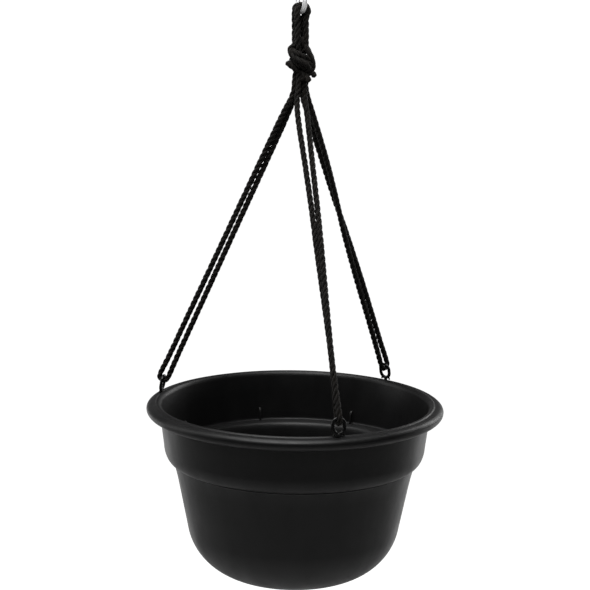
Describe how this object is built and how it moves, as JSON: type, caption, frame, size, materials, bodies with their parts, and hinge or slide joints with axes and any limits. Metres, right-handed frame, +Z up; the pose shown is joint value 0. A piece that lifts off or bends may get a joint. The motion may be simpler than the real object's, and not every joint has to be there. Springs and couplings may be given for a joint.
{
  "type": "hanging basket",
  "caption": "Round black plastic hanging planter with a rolled rim and stepped collar, hung from a wire S-hook by doubled cords gathered in one knot.",
  "frame": {"origin": "underside of the S-hook's upper bend, where a rail or an eye carries the hook; the pot hangs straight below it", "axes": "+Z up along the pot's axis; -Y is the front; the plane of the hook and the front cord point 17 degrees from -Y towards +X"},
  "size_m": [0.3048, 0.3048, 0.6514],
  "materials": {
    "pot_plastic": "matte moulded black, fine texture",
    "clip_plastic": "smooth moulded black",
    "cord": "black three-strand twisted synthetic cord",
    "hook_wire": "bright zinc-plated wire"
  },
  "bodies": {
    "hook": {"s_hook": "hook_wire"},
    "loop": {"hanging_loop_front_cord": "cord", "hanging_loop_middle_cord": "cord", "hanging_loop_back_cord": "cord"},
    "basket": {"gathering_knot": "cord", "left_cord_tail": "cord", "right_cord_tail": "cord", "front_cord_tail": "cord", "front_cord_outer_leg": "cord", "front_cord_inner_leg": "cord", "right_cord_outer_leg": "cord", "right_cord_inner_leg": "cord", "left_cord_outer_leg": "cord", "left_cord_inner_leg": "cord", "pot": "pot_plastic"},
    "front_clip": {"front_clip": "clip_plastic"},
    "right_clip": {"right_clip": "clip_plastic"},
    "left_clip": {"left_clip": "clip_plastic"}
  },
  "joints": [
    {"name": "loop_swing", "type": "hinge", "parent": "hook", "child": "loop", "pos_m": [0, 0, -0.0675], "axis": [0.2924, -0.9563, 0], "range_deg": [-35, 35]},
    {"name": "cord_turn", "type": "hinge", "parent": "loop", "child": "basket", "pos_m": [0, 0, -0.1175], "axis": [0, 0, 1], "range_deg": [-90, 90], "stiffness_Nm_per_rad": 0.01},
    {"name": "front_clip_turn", "type": "hinge", "parent": "basket", "child": "front_clip", "pos_m": [0.0421, -0.13771, -0.4625], "axis": [0, 0, 1], "range_deg": [-15, 15]},
    {"name": "right_clip_turn", "type": "hinge", "parent": "basket", "child": "right_clip", "pos_m": [0.09821, 0.10532, -0.4625], "axis": [0, 0, 1], "range_deg": [-15, 15]},
    {"name": "left_clip_turn", "type": "hinge", "parent": "basket", "child": "left_clip", "pos_m": [-0.14031, 0.03239, -0.4625], "axis": [0, 0, 1], "range_deg": [-15, 15]}
  ]
}
